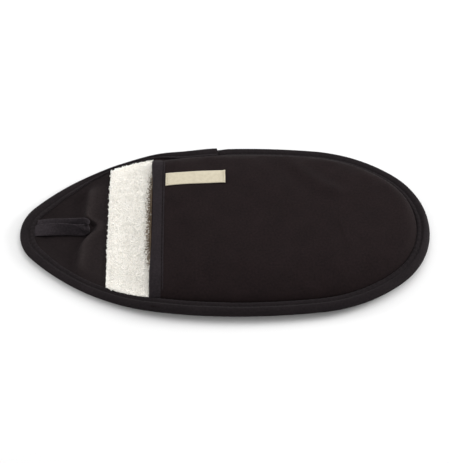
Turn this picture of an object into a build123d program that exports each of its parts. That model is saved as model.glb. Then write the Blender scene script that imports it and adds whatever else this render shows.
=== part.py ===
# Oval oven mitt lying flat, its hand pocket on top.
# Millimetres. Z = 0 is under the back, +X runs from the cuff tip to the finger end.

import os
from math import asin, atan2, cos, degrees, hypot, radians, sin, sqrt

from build123d import *

os.makedirs("parts", exist_ok=True)

# Plan outline: three tangent arcs from the tip to the widest station, three more to the finger end.
# A slope is the angle between the outline and the length where one arc hands over to the next.
mitt_length = 360.0
mitt_width = 185.0
widest_from_tip = 195.0
tip_radius = 40.7
tip_flank_slope = 45.8
tip_side_slope = 7.0
end_radius = 76.3
end_flank_slope = 39.4
end_side_slope = 6.5

# Lines across the mitt, measured from the tip
facing_length = 75.5
mouth_from_tip = 115.5

# Thickness of the layers
shell_cloth = 0.7
facing_cloth = 0.7
terry = 2.0
wadding = 4.5
pressed_wadding = 0.9

# Binding tapes
tape = 0.8
edge_tape_width = 11.0
edge_turn_in = 2.0
edge_roll_share = 0.4
ramp_length = 6.0
mouth_tape_width = 11.5

# Back panel
back_margin = 0.6
back_slope_length = 6.0

# Pocket front: the roof falls from its crest to the sides by the crown, and to the mouth by the mouth fall
hand_room = 7.0
roof_crown = 4.6
mouth_fall = 3.0
crest_from_tip = 220.0
groove_width = 1.5
roof_roll = 2.8

# Clearances
layer_gap = 0.3
moving_gap = 0.3

# Hanging loop, a folded tape that leans back on the cuff
loop_length = 49.0
loop_tape_width = 11.0
loop_tape = 1.2
loop_eye = 8.0
loop_root_opening = 0.6
loop_lean = 60.0
loop_side_shift = 3.0

# Label on the pocket
label_length = 53.0
label_width = 15.0
label_cloth = 0.5
label_from_rim = 41.6
label_to_tape = 0.6

# Stitches
stitch_length = 2.6
stitch_pitch = 4.0
thread_width = 0.6
thread_height = 0.3
seam_margin = 2.5
edge_seam_margin = 3.5
label_seam_margin = 1.6

# Levels of the layers, from the floor up
back_top = shell_cloth + wadding
rim_low = back_top - pressed_wadding - shell_cloth
binding_low = rim_low - tape
facing_top = back_top + facing_cloth
terry_top = back_top + terry
lining_flange = terry_top + terry
wadding_flange = lining_flange + pressed_wadding
shell_flange = wadding_flange + shell_cloth
room_crest = terry_top + hand_room + roof_crown
lining_crest = room_crest + terry
wadding_crest = lining_crest + wadding
shell_crest = wadding_crest + shell_cloth

# Insets of the walls from the plan outline
layer_edge = edge_turn_in + layer_gap
shell_wall = edge_tape_width + groove_width
wadding_wall = shell_wall + shell_cloth
lining_wall = wadding_wall + wadding
room_wall = lining_wall + terry

# Places along the mitt
tip_x = -mitt_length / 2
end_x = mitt_length / 2
widest_x = tip_x + widest_from_tip
facing_x = tip_x + facing_length
mouth_x = tip_x + mouth_from_tip
crest_x = tip_x + crest_from_tip
mouth_plane = Plane.YZ.offset(mouth_x)
facing_plane = Plane.YZ.offset(facing_x)

# Radii of the roof's arcs across and along the mitt
roof_half = mitt_width / 2 - shell_wall
mouth_run = crest_x - mouth_x
across_radius = (roof_half**2 + roof_crown**2) / (2 * roof_crown)
along_radius = (mouth_run**2 + mouth_fall**2) / (2 * mouth_fall)
dome_depth = mitt_width / 2


# Radii of the flank and side arcs that close a quarter of the outline.
def closing_radii(run, rise, nose_radius, flank_slope, side_slope):
    flank_sin = sin(radians(flank_slope))
    flank_cos = cos(radians(flank_slope))
    side_sin = sin(radians(side_slope))
    side_cos = cos(radians(side_slope))
    run_left = run - nose_radius * (1 - flank_sin)
    rise_left = rise - nose_radius * flank_cos
    spread = (flank_sin - side_sin) * (1 - side_cos) - side_sin * (side_cos - flank_cos)
    flank_radius = (run_left * (1 - side_cos) - side_sin * rise_left) / spread
    side_radius = ((flank_sin - side_sin) * rise_left - run_left * (side_cos - flank_cos)) / spread
    return flank_radius, side_radius


# The three arcs of one quarter, each with its centre, radius and polar start and end angles.
# The quarter faces +X when facing is 1 and -X when it is -1.
def quarter_arcs(nose_x, facing, nose_radius, flank_slope, side_slope):
    run = abs(nose_x - widest_x)
    flank_radius, side_radius = closing_radii(
        run, mitt_width / 2, nose_radius, flank_slope, side_slope
    )
    turns = [0, 90 - flank_slope, 90 - side_slope, 90]
    radii = [nose_radius, flank_radius, side_radius]
    centre_x = nose_x - facing * nose_radius
    centre_y = 0.0
    arcs = []
    for index, radius in enumerate(radii):
        if index > 0:
            step = radii[index - 1] - radius
            centre_x += facing * step * cos(radians(turns[index]))
            centre_y += step * sin(radians(turns[index]))
        start = turns[index] if facing > 0 else 180 - turns[index]
        end = turns[index + 1] if facing > 0 else 180 - turns[index + 1]
        arcs.append((centre_x, centre_y, radius, start, end))
    return arcs


half_outline = quarter_arcs(end_x, 1, end_radius, end_flank_slope, end_side_slope)
half_outline += quarter_arcs(tip_x, -1, tip_radius, tip_flank_slope, tip_side_slope)


# Half the mitt's width at a place along it, on the curve that lies inset from the outline.
def half_width(x, inset):
    for centre_x, centre_y, radius, start, end in half_outline:
        edges = sorted([centre_x + (radius - inset) * cos(radians(turn)) for turn in (start, end)])
        if edges[0] <= x <= edges[1]:
            return centre_y + sqrt((radius - inset) ** 2 - (x - centre_x) ** 2)
    return 0.0


# Adds the outline, moved inwards by inset, as a face to the sketch being built.
def outline_face(inset):
    with BuildLine() as outline:
        for centre_x, centre_y, radius, start, end in half_outline:
            CenterArc((centre_x, centre_y), radius - inset, start, end - start)
        mirror(about=Plane.XZ)
    make_face(outline.edges())


# Cuts the sketch being built off at a line across the mitt and keeps its finger end.
def keep_from(start_x):
    with Locations((start_x, 0)):
        Rectangle(mitt_length, mitt_width, align=(Align.MIN, Align.CENTER), mode=Mode.INTERSECT)


# Height of the crowned roof at a place in plan.
def roof_level(x, y, crest):
    reach = along_radius - across_radius + sqrt(across_radius**2 - y**2)
    return crest - along_radius + sqrt(reach**2 - (x - crest_x) ** 2)


# All that lies under a crowned roof: an arc across the mitt, turned about an axle far below.
def crowned_slab(crest):
    axle = Axis((crest_x, 0, crest - along_radius), (0, 1, 0))
    turn = atan2(mitt_length, along_radius)
    half = mitt_width / 2
    side = along_radius - across_radius + sqrt(across_radius**2 - half**2)
    floor = along_radius - crest - dome_depth
    with BuildPart() as slab:
        with BuildSketch(Plane(origin=axle.position, x_dir=(0, 1, 0), z_dir=(cos(turn), 0, sin(turn)))):
            with BuildLine() as section:
                ThreePointArc((-half, side), (0, along_radius), (half, side))
                Polyline((half, side), (half, floor), (-half, floor), (-half, side))
            make_face(section.edges())
        revolve(axis=axle, revolution_arc=degrees(2 * turn))
    return slab.part


# A layer boundary of the pocket: a block under the crowned roof, its top edge rolled, cut off at its base.
def dome(wall_inset, base, crest, roll):
    with BuildPart() as form:
        with BuildSketch(Plane.XY.offset(crest)):
            outline_face(wall_inset)
        extrude(amount=-dome_depth)
        add(crowned_slab(crest), mode=Mode.INTERSECT)
        fillet(form.faces().sort_by(Axis.Z)[-1].edges(), radius=roll)
        split(bisect_by=Plane.XY.offset(base), keep=Keep.TOP)
    return form.part


# A layer boundary of the back: a flat belly that slopes up to the rim seam.
def belly(low, rim):
    with BuildPart() as form:
        with BuildSketch(Plane.XY.offset(low)):
            outline_face(edge_tape_width + back_margin + back_slope_length)
        with BuildSketch(Plane.XY.offset(rim)):
            outline_face(edge_tape_width + back_margin)
        loft(ruled=True)
        with BuildSketch(Plane.XY.offset(rim)):
            outline_face(layer_edge)
        extrude(amount=back_top - rim)
    return form.part


# The rolled rim of the edge binding at one height, solid across the mitt.
def rim_plate(top):
    with BuildPart() as form:
        with BuildSketch(Plane.XY.offset(binding_low)):
            outline_face(0)
        extrude(amount=top - binding_low)
        fillet(form.edges().group_by(Axis.Z)[-1], radius=edge_roll_share * (top - binding_low))
        low_roll = edge_roll_share * (facing_top + tape - binding_low)
        fillet(form.edges().group_by(Axis.Z)[0], radius=low_roll)
    return form.part


# A rim plate that starts at a line across the mitt and ramps down from there to the lower one.
def ramped_plate(top, lower_top, start_x):
    with BuildPart() as form:
        add(rim_plate(top))
        ramp = Plane(origin=(start_x, 0, top), z_dir=(top - lower_top, 0, -ramp_length))
        split(bisect_by=ramp, keep=Keep.TOP)
    return form.part


# Places in plan of the stitches along a straight row.
def stitch_row(start, end):
    count = max(2, round(hypot(end[0] - start[0], end[1] - start[1]) / stitch_pitch))
    places = []
    for index in range(count):
        share = (index + 0.5) / count
        x = start[0] + share * (end[0] - start[0])
        y = start[1] + share * (end[1] - start[1])
        places.append((x, y))
    return places


# The seat of a stitch that runs across the mitt on the crowned roof, leaning with it.
def roof_seat(x, y, crest):
    level = roof_level(x, y, crest)
    fall_x = (x - crest_x) / (level - crest + along_radius)
    fall_y = y / sqrt(across_radius**2 - y**2)
    seat = Plane(origin=(x, y, level), x_dir=(0, 1, -fall_y), z_dir=(fall_x, fall_y, 1))
    return seat.location


# Adds a group of stitches to the part being built.
def sew(spots):
    with Locations(*spots):
        Box(stitch_length, thread_width, thread_height, align=(Align.CENTER, Align.CENTER, Align.MIN))


# Back panel: outer shell, wadding, terry face and the facing over its cuff end
belly_outside = belly(0, rim_low)
belly_inside = belly(shell_cloth, rim_low + shell_cloth)

with BuildPart() as back_shell:
    add(belly_outside)
    add(belly_inside, mode=Mode.SUBTRACT)
back_shell.part.label = "back_shell"
export_step(back_shell.part, "parts/back_shell.step")

with BuildPart() as back_batting:
    add(belly_inside)
back_batting.part.label = "back_batting"
export_step(back_batting.part, "parts/back_batting.step")

with BuildPart() as back_terry_lining:
    with BuildSketch(Plane.XY.offset(back_top)):
        outline_face(layer_edge)
    extrude(amount=terry)
    split(bisect_by=facing_plane, keep=Keep.TOP)
back_terry_lining.part.label = "back_terry_lining"
export_step(back_terry_lining.part, "parts/back_terry_lining.step")

with BuildPart() as cuff_facing:
    with BuildSketch(Plane.XY.offset(back_top)):
        outline_face(layer_edge)
    extrude(amount=facing_cloth)
    split(bisect_by=facing_plane, keep=Keep.BOTTOM)
cuff_facing.part.label = "cuff_facing"
export_step(cuff_facing.part, "parts/cuff_facing.step")

# Pocket front: terry lining, wadding and outer shell over the room for the hand
lining_roll = roof_roll + terry
wadding_roll = lining_roll + wadding
shell_roll = wadding_roll + shell_cloth
pocket_base = terry_top + moving_gap
room_form = dome(room_wall, pocket_base, room_crest, roof_roll)
lining_form = dome(lining_wall, pocket_base, lining_crest, lining_roll)
wadding_form = dome(wadding_wall, pocket_base, wadding_crest, wadding_roll)
shell_form = dome(shell_wall, pocket_base, shell_crest, shell_roll)

with BuildPart() as pocket_terry_lining:
    add(lining_form)
    add(room_form, mode=Mode.SUBTRACT)
    split(bisect_by=mouth_plane, keep=Keep.TOP)
pocket_terry_lining.part.label = "pocket_terry_lining"
export_step(pocket_terry_lining.part, "parts/pocket_terry_lining.step")

with BuildPart() as pocket_batting:
    add(wadding_form)
    add(lining_form, mode=Mode.SUBTRACT)
    split(bisect_by=mouth_plane, keep=Keep.TOP)
pocket_batting.part.label = "pocket_batting"
export_step(pocket_batting.part, "parts/pocket_batting.step")

with BuildPart() as pocket_shell:
    add(shell_form)
    add(wadding_form, mode=Mode.SUBTRACT)
    split(bisect_by=mouth_plane, keep=Keep.TOP)
pocket_shell.part.label = "pocket_shell"
export_step(pocket_shell.part, "parts/pocket_shell.step")

# The margins of the pocket's three layers, pressed flat in the rim seam under the binding
seam_margins = {
    "pocket_terry_seam": (terry_top, lining_flange),
    "pocket_batting_seam": (lining_flange, wadding_flange),
    "pocket_shell_seam": (wadding_flange, shell_flange),
}
for name, (low, high) in seam_margins.items():
    with BuildPart() as pressed_layer:
        with BuildSketch(Plane.XY.offset(low)):
            outline_face(layer_edge)
            keep_from(mouth_x)
        extrude(amount=high - low)
        with BuildSketch(Plane.XY.offset(low)):
            outline_face(edge_tape_width)
        extrude(amount=high - low, mode=Mode.SUBTRACT)
    pressed_layer.part.label = name
    export_step(pressed_layer.part, f"parts/{name}.step")

# Tape folded over the pocket's mouth, inside and out
tape_outside = dome(shell_wall - tape, pocket_base, shell_crest + tape, shell_roll + tape)
tape_inside = dome(room_wall + tape, pocket_base, room_crest - tape, roof_roll - tape)

with BuildPart() as pocket_layers:
    add(shell_form)
    add(room_form, mode=Mode.SUBTRACT)
    split(bisect_by=mouth_plane, keep=Keep.TOP)

with BuildPart() as mouth_binding:
    add(tape_outside)
    add(tape_inside, mode=Mode.SUBTRACT)
    split(bisect_by=Plane.YZ.offset(mouth_x - tape), keep=Keep.TOP)
    split(bisect_by=Plane.YZ.offset(mouth_x + mouth_tape_width), keep=Keep.BOTTOM)
    add(pocket_layers.part, mode=Mode.SUBTRACT)
mouth_binding.part.label = "mouth_binding"
export_step(mouth_binding.part, "parts/mouth_binding.step")

# Tape folded over the whole rim, higher where it takes in more layers
cuff_lip = facing_top + tape
terry_lip = terry_top + tape
pocket_lip = shell_flange + tape
terry_start = facing_x - layer_gap
pocket_start = mouth_x - moving_gap
terry_plate = ramped_plate(terry_lip, cuff_lip, terry_start - tape)
pocket_plate = ramped_plate(pocket_lip, terry_lip, pocket_start - tape)

lip_insides = ((tip_x, facing_top), (terry_start, terry_top), (pocket_start, shell_flange))

with BuildPart() as edge_binding:
    add(rim_plate(cuff_lip))
    add(terry_plate)
    add(pocket_plate)
    for start_x, lip_inside in lip_insides:
        with BuildSketch(Plane.XY.offset(rim_low)):
            outline_face(edge_turn_in)
            keep_from(start_x)
        extrude(amount=lip_inside - rim_low, mode=Mode.SUBTRACT)
    with BuildSketch(Plane.XY.offset(binding_low)):
        outline_face(edge_tape_width)
    extrude(amount=pocket_lip - binding_low, mode=Mode.SUBTRACT)
edge_binding.part.label = "edge_binding"
export_step(edge_binding.part, "parts/edge_binding.step")

# Hanging loop: the path rises a little so that both its root and its eye lie on the facing
loop_fold_radius = (loop_eye + loop_tape) / 2
loop_root_half = (loop_root_opening + loop_tape) / 2
loop_fold_x = loop_length - loop_tape / 2 - loop_fold_radius
loop_rise = atan2((loop_fold_radius - loop_root_half) * cos(radians(loop_lean)), loop_fold_x)
loop_foot = loop_tape_width / 2 * sin(radians(loop_lean))
loop_foot += (loop_root_half + loop_tape / 2) * cos(radians(loop_lean))
loop_root = (tip_x + edge_tape_width + moving_gap, loop_side_shift, facing_top + moving_gap + loop_foot)
loop_forward = (cos(loop_rise), 0, sin(loop_rise))
loop_across = (
    -sin(loop_rise) * sin(radians(loop_lean)),
    cos(radians(loop_lean)),
    cos(loop_rise) * sin(radians(loop_lean)),
)
loop_plane = Plane(origin=loop_root, x_dir=loop_forward, z_dir=loop_across)
leg_reach = hypot(loop_fold_x, loop_root_half)
leg_turn = asin(loop_fold_radius / leg_reach) - atan2(loop_root_half, loop_fold_x)
fold_start = (
    loop_fold_x - loop_fold_radius * sin(leg_turn),
    loop_fold_radius * cos(leg_turn),
)

with BuildPart() as hanging_loop:
    with BuildLine(loop_plane) as loop_path:
        Line((0, loop_root_half), fold_start)
        ThreePointArc(
            fold_start,
            (loop_fold_x + loop_fold_radius, 0),
            (fold_start[0], -fold_start[1]),
        )
        Line((fold_start[0], -fold_start[1]), (0, -loop_root_half))
    leg_end = loop_path.line @ 0
    leg_heading = loop_path.line % 0
    with BuildSketch(Plane(origin=leg_end, x_dir=loop_across, z_dir=leg_heading)):
        Rectangle(loop_tape_width, loop_tape)
    sweep(path=loop_path.line)
hanging_loop.part.label = "hanging_loop"
export_step(hanging_loop.part, "parts/hanging_loop.step")

# Plain woven label on the crowned roof, its short end against the mouth tape
label_seat = shell_crest + layer_gap
label_crest = label_seat + label_cloth
label_x = mouth_x + mouth_tape_width + label_to_tape
label_y = half_width(label_x, label_from_rim)

with BuildPart() as label:
    with BuildSketch(Plane.XY.offset(pocket_base)):
        with Locations((label_x, label_y)):
            Rectangle(label_length, label_width, align=(Align.MIN, Align.CENTER))
    extrude(amount=label_crest - pocket_base)
    add(crowned_slab(label_crest), mode=Mode.INTERSECT)
    add(crowned_slab(label_seat), mode=Mode.SUBTRACT)
label.part.label = "label"
export_step(label.part, "parts/label.step")

# Stitching along the rim, left out where the binding ramps up
cuff_end = terry_start - tape - ramp_length
terry_end = pocket_start - tape - ramp_length
lip_runs = (
    (tip_x, cuff_end, cuff_lip),
    (terry_start - tape, terry_end, terry_lip),
    (pocket_start - tape, end_x, pocket_lip),
)
edge_spots = []
for centre_x, centre_y, radius, start, end in half_outline:
    seam_radius = radius - edge_tape_width + edge_seam_margin
    count = max(1, round(seam_radius * abs(radians(end - start)) / stitch_pitch))
    for index in range(count):
        turn = start + (index + 0.5) / count * (end - start)
        x = centre_x + seam_radius * cos(radians(turn))
        y = centre_y + seam_radius * sin(radians(turn))
        for run_start, run_end, level in lip_runs:
            if run_start + stitch_length / 2 < x < run_end - stitch_length / 2:
                edge_spots.append(Location((x, y, level), (0, 0, turn + 90)))
                edge_spots.append(Location((x, -y, level), (0, 0, -turn - 90)))

with BuildPart() as edge_stitching:
    sew(edge_spots)
edge_stitching.part.label = "edge_stitching"
export_step(edge_stitching.part, "parts/edge_stitching.step")

# Stitching along the mouth tape, between the rolls at its two ends
mouth_seam_x = mouth_x + mouth_tape_width - seam_margin
mouth_seam_half = half_width(mouth_x, shell_wall - tape) - shell_roll - tape
mouth_places = stitch_row((mouth_seam_x, -mouth_seam_half), (mouth_seam_x, mouth_seam_half))

with BuildPart() as mouth_stitching:
    sew([roof_seat(x, y, shell_crest + tape) for x, y in mouth_places])
mouth_stitching.part.label = "mouth_stitching"
export_step(mouth_stitching.part, "parts/mouth_stitching.step")

# Stitching along the facing's edge beside the terry
facing_seam_x = facing_x - seam_margin
facing_seam_half = half_width(facing_seam_x, edge_tape_width) - ramp_length
facing_places = stitch_row((facing_seam_x, -facing_seam_half), (facing_seam_x, facing_seam_half))

with BuildPart() as facing_stitching:
    sew([Location((x, y, facing_top), (0, 0, 90)) for x, y in facing_places])
facing_stitching.part.label = "facing_stitching"
export_step(facing_stitching.part, "parts/facing_stitching.step")

# Stitching across both short ends of the label
label_seam_half = label_width / 2 - label_seam_margin
label_places = []
for seam_x in (label_x + label_seam_margin, label_x + label_length - label_seam_margin):
    label_places += stitch_row((seam_x, label_y - label_seam_half), (seam_x, label_y + label_seam_half))

with BuildPart() as label_stitching:
    sew([roof_seat(x, y, label_crest) for x, y in label_places])
label_stitching.part.label = "label_stitching"
export_step(label_stitching.part, "parts/label_stitching.step")
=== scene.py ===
import math
from contextlib import contextmanager

import bmesh
import bpy
import numpy as np
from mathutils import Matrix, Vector
from mathutils.bvhtree import BVHTree


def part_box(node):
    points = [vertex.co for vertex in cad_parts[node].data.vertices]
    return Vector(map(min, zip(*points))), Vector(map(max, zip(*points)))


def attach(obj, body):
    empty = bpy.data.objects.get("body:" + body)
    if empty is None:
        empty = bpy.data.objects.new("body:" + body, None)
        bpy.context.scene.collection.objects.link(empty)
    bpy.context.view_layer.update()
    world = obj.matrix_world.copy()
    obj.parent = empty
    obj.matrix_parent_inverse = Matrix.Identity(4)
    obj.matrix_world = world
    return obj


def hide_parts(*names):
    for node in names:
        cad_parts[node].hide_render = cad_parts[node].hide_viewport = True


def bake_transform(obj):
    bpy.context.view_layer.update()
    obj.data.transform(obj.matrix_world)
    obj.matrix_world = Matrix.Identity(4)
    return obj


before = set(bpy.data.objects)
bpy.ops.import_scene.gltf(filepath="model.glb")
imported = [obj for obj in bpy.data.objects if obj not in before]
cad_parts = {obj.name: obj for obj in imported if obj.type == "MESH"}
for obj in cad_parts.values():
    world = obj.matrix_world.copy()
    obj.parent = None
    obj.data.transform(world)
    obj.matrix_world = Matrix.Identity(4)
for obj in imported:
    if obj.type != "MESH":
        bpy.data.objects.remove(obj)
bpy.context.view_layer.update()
mm = 0.001
weld = 0.02 * mm  # points closer than this are merged
scene = bpy.context.scene
scene.view_settings.view_transform = "Standard"

# Heights and lines that the CAD nodes give, in metres
rimLow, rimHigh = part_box("edge_binding")
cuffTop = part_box("cuff_facing")[1].z
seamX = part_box("cuff_facing")[1].x
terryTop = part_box("back_terry_lining")[1].z
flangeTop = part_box("pocket_shell_seam")[1].z
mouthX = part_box("pocket_shell")[0].x
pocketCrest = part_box("pocket_shell")[1].z

# Outline of the mitt: slopes in degrees, the rest in metres
plan = {
    "tipRadius": 40.7 * mm,
    "tipFlank": 45.8,
    "tipSide": 7.0,
    "endRadius": 76.3 * mm,
    "endFlank": 39.4,
    "endSide": 6.5,
    "widestX": 15.0 * mm,
    "tapeWidth": 11.4 * mm,
    "spineInset": 34.0 * mm,
    "spineStart": -112.0 * mm,
    "spineEnd": 98.0 * mm,
    "samples": 2400,
}


# Three arcs that make a quarter of the outline, between a nose and the widest place
def quarterArcs(noseX, side, noseRadius, flank, slope):
    f, s = math.radians(flank), math.radians(slope)
    runLeft = abs(noseX - plan["widestX"]) - noseRadius * (1 - math.sin(f))
    riseLeft = rimHigh.y - noseRadius * math.cos(f)
    a, b = math.sin(f) - math.sin(s), math.sin(s)
    c, d = math.cos(s) - math.cos(f), 1 - math.cos(s)
    flankRadius = (runLeft * d - b * riseLeft) / (a * d - b * c)
    sideRadius = (a * riseLeft - runLeft * c) / (a * d - b * c)
    turns = [0, math.pi / 2 - f, math.pi / 2 - s, math.pi / 2]
    radii = [noseRadius, flankRadius, sideRadius]
    x, y = noseX - side * noseRadius, 0.0
    arcs = []
    for k, radius in enumerate(radii):
        if k:
            x += side * (radii[k - 1] - radius) * math.cos(turns[k])
            y += (radii[k - 1] - radius) * math.sin(turns[k])
        start, end = turns[k], turns[k + 1]
        if side < 0:
            start, end = math.pi - end, math.pi - start
        arcs.append((x, y, radius, start, end))
    return arcs if side > 0 else arcs[::-1]


upperArcs = quarterArcs(rimHigh.x, 1, plan["endRadius"], plan["endFlank"], plan["endSide"])
upperArcs += quarterArcs(rimLow.x, -1, plan["tipRadius"], plan["tipFlank"], plan["tipSide"])
lowerArcs = [(x, -y, r, 2 * math.pi - b, 2 * math.pi - a) for x, y, r, a, b in upperArcs[::-1]]
rimArcs = np.array(upperArcs + lowerArcs)
arcLengths = rimArcs[:, 2] * (rimArcs[:, 4] - rimArcs[:, 3])
arcStarts = np.concatenate([[0], np.cumsum(arcLengths)])
rimLength = arcStarts[-1]


# Points and outward normals at distances along the rim, anticlockwise from the finger end
def rimAt(distance):
    distance = np.mod(distance, rimLength)
    k = np.clip(np.searchsorted(arcStarts, distance, side="right") - 1, 0, len(rimArcs) - 1)
    x, y, r, start, _ = rimArcs[k].T
    turn = start + (distance - arcStarts[k]) / r
    normal = np.stack([np.cos(turn), np.sin(turn)], -1)
    return np.stack([x, y], -1) + r[:, None] * normal, normal


rimSamples = rimAt(np.linspace(0, rimLength, plan["samples"], endpoint=False))[0]
upperRim = rimSamples[rimSamples[:, 1] >= 0]
upperRim = upperRim[np.argsort(upperRim[:, 0])]


# Distance inwards from the outline, for an array of places in plan
def insetAt(xy):
    flat = np.asarray(xy, float).reshape(-1, 2)
    found = [np.sqrt(((rimSamples - p) ** 2).sum(1).min()) for p in flat]
    return np.array(found).reshape(np.shape(xy)[:-1])


# Half the width of the mitt at places along it
def halfWidth(x):
    return np.interp(x, upperRim[:, 0], upperRim[:, 1])


def smooth(t):
    t = np.clip(t, 0, 1)
    return t * t * (3 - 2 * t)


# Rises smoothly from 0 to 1 over a run
def ramp(x, start, run):
    return smooth((x - start) / run)


# A quarter-round rise from 0 to 1
def roundUp(t):
    t = np.clip(t, 0, 1)
    return np.sqrt(1 - (1 - t) ** 2)


# Distances run along a line of points
def runLength(points):
    return np.concatenate([[0], np.cumsum(np.linalg.norm(np.diff(points, axis=0), axis=1))])


# Rows of an array, read off at other distances along their line
def readAt(distance, length, values):
    return np.stack([np.interp(distance, length, column) for column in values.T], -1)


def unit(vectors):
    return vectors / np.linalg.norm(vectors, axis=-1, keepdims=True)


# Soft hills in plan, the same on each run
def hills(x, y, size, seed, waves=9):
    draw = np.random.default_rng(seed)
    total = np.zeros(np.shape(x))
    for k in range(waves):
        heading, phase = draw.uniform(0, 2 * math.pi, 2)
        stretch = draw.uniform(0.6, 1.7) * 2 * math.pi / size
        total += np.sin((x * math.cos(heading) + y * math.sin(heading)) * stretch + phase)
    return total / waves


# A mesh from a grid of points, with a UV map in millimetres
def gridMesh(name, points, uv, wrapRows=False, wrapCols=False):
    rows, cols = points.shape[:2]
    rowCells = rows if wrapRows else rows - 1
    colCells = cols if wrapCols else cols - 1
    i, j = np.meshgrid(np.arange(rowCells), np.arange(colCells), indexing="ij")
    corners = [(i, j), (i, j + 1), (i + 1, j + 1), (i + 1, j)]
    quads = np.stack([(a % rows) * cols + b % cols for a, b in corners], -1).reshape(-1, 4)
    mesh = bpy.data.meshes.new(name)
    mesh.from_pydata(points.reshape(-1, 3).tolist(), [], quads.tolist())
    flat = np.stack([uv[a, b] for a, b in corners], 2).reshape(-1) / mm
    mesh.uv_layers.new(name="cloth").data.foreach_set("uv", flat.astype(np.float32))
    return mesh


# A UV grid from distances round a section and along a piece
def sectionUv(around, along):
    return np.stack(np.meshgrid(around, along, indexing="ij")[::-1], -1)


def newObject(name, mesh):
    piece = bpy.data.objects.new(name, mesh)
    scene.collection.objects.link(piece)
    return piece


def pointsOf(piece):
    return np.array([v.co for v in piece.data.vertices])


# Opens a mesh for editing and writes it back
@contextmanager
def editing(mesh):
    bm = bmesh.new()
    bm.from_mesh(mesh)
    yield bm
    bm.to_mesh(mesh)
    bm.free()


# Bakes an object's modifiers into its mesh
def applyModifiers(piece):
    depsgraph = bpy.context.evaluated_depsgraph_get()
    mesh = bpy.data.meshes.new_from_object(piece.evaluated_get(depsgraph), depsgraph=depsgraph)
    piece.modifiers.clear()
    piece.data = mesh
    return piece


def shadeSmooth(piece):
    piece.data.polygons.foreach_set("use_smooth", [True] * len(piece.data.polygons))
    return piece


# Merges doubles and cuts across the mitt, keeping the side towards the finger end or the other
def cleanMesh(piece, cuts=(), fill=False):
    with editing(piece.data) as bm:
        bmesh.ops.remove_doubles(bm, verts=bm.verts, dist=weld)
        for x, keepAbove in cuts:
            cut = bmesh.ops.bisect_plane(
                bm, geom=bm.verts[:] + bm.edges[:] + bm.faces[:], plane_co=(x, 0, 0), plane_no=(1, 0, 0),
                clear_inner=keepAbove, clear_outer=not keepAbove,
            )
            if fill:
                edges = [e for e in cut["geom_cut"] if isinstance(e, bmesh.types.BMEdge)]
                bmesh.ops.holes_fill(bm, edges=edges, sides=0)
        if fill:
            bmesh.ops.recalc_face_normals(bm, faces=bm.faces)
    return shadeSmooth(piece)


# Rings of places in plan, from the rim inwards and on to a line along the middle
def panelRings(insets, innerSteps, stations):
    rim, normal = rimAt(np.linspace(0, rimLength, stations, endpoint=False))
    rings = [rim - normal * d for d in insets]
    spine = np.zeros_like(rim)
    spine[:, 0] = np.clip(rings[-1][:, 0], plan["spineStart"], plan["spineEnd"])
    share = np.linspace(0, 1, innerSteps + 1)[1:]
    rings += [rings[-1] * (1 - t) + spine * t for t in share]
    depth = list(insets) + [insets[-1] + t * plan["spineInset"] for t in share]
    return np.array(rings), np.array(depth)[:, None] * np.ones(stations)


# One cloth surface over the plan, with its height from a function of x, y and inset
def panelMesh(name, insets, innerSteps, stations, height, upwards=True):
    rings, depth = panelRings(insets, innerSteps, stations)
    z = height(rings[..., 0], rings[..., 1], depth)
    points = np.concatenate([rings, z[..., None]], -1)
    if not upwards:
        points = points[:, ::-1]
    flat = points[..., :2]
    uv = np.concatenate([flat, flat[:, :1]], 1)
    return gridMesh(name, points, uv, wrapCols=True)


# A closed pad between two surfaces, joined along the first inset
def padPiece(name, insets, innerSteps, stations, top, bottom, cuts=()):
    piece = newObject(name, panelMesh(name, insets, innerSteps, stations, top))
    under = panelMesh(name + "Under", insets, innerSteps, stations, bottom, upwards=False)
    with editing(piece.data) as bm:
        bm.from_mesh(under)
        bmesh.ops.remove_doubles(bm, verts=bm.verts, dist=weld)
        loose = [e for e in bm.edges if e.is_boundary]
        if loose:
            bmesh.ops.bridge_loops(bm, edges=loose)
    bpy.data.meshes.remove(under)
    return cleanMesh(piece, cuts, fill=True)


# A folded tape from rows of points round its section, its two ends filled
def tapePiece(name, points, around, along):
    piece = newObject(name, gridMesh(name, points, sectionUv(around, along), wrapRows=True))
    with editing(piece.data) as bm:
        bmesh.ops.holes_fill(bm, edges=[e for e in bm.edges if e.is_boundary], sides=0)
        bmesh.ops.recalc_face_normals(bm, faces=bm.faces)
    return shadeSmooth(piece)


def thicken(piece, thickness):
    solidify = piece.modifiers.new("thickness", "SOLIDIFY")
    solidify.thickness = thickness
    return shadeSmooth(applyModifiers(piece))


print("outline ready, rim length", round(rimLength, 4))


# Shader sockets that add their own Math nodes
class Wire:
    def __init__(self, tree, socket):
        self.tree = tree
        self.socket = socket

    def math(self, operation, *others):
        node = self.tree.nodes.new("ShaderNodeMath")
        node.operation = operation
        for k, value in enumerate((self,) + others):
            plug(self.tree, node.inputs[k], value)
        return Wire(self.tree, node.outputs[0])

    def clamp(self, most=1.0):
        return self.math("MINIMUM", most).math("MAXIMUM", 0.0)

    def __add__(self, other):
        return self.math("ADD", other)

    def __sub__(self, other):
        return self.math("SUBTRACT", other)

    def __rsub__(self, other):
        return self.math("MULTIPLY", -1.0).math("ADD", other)

    def __mul__(self, other):
        return self.math("MULTIPLY", other)

    def __truediv__(self, other):
        return self.math("DIVIDE", other)

    __radd__ = __add__
    __rmul__ = __mul__


def plug(tree, socket, value):
    if isinstance(value, Wire):
        tree.links.new(value.socket, socket)
    else:
        socket.default_value = value


# Turns a written red, green and blue into the shader's linear colour
def linear(red, green, blue):
    parts = [v / 255 for v in (red, green, blue)]
    return tuple([v / 12.92 if v <= 0.04045 else ((v + 0.055) / 1.055) ** 2.4 for v in parts] + [1.0])


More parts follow.
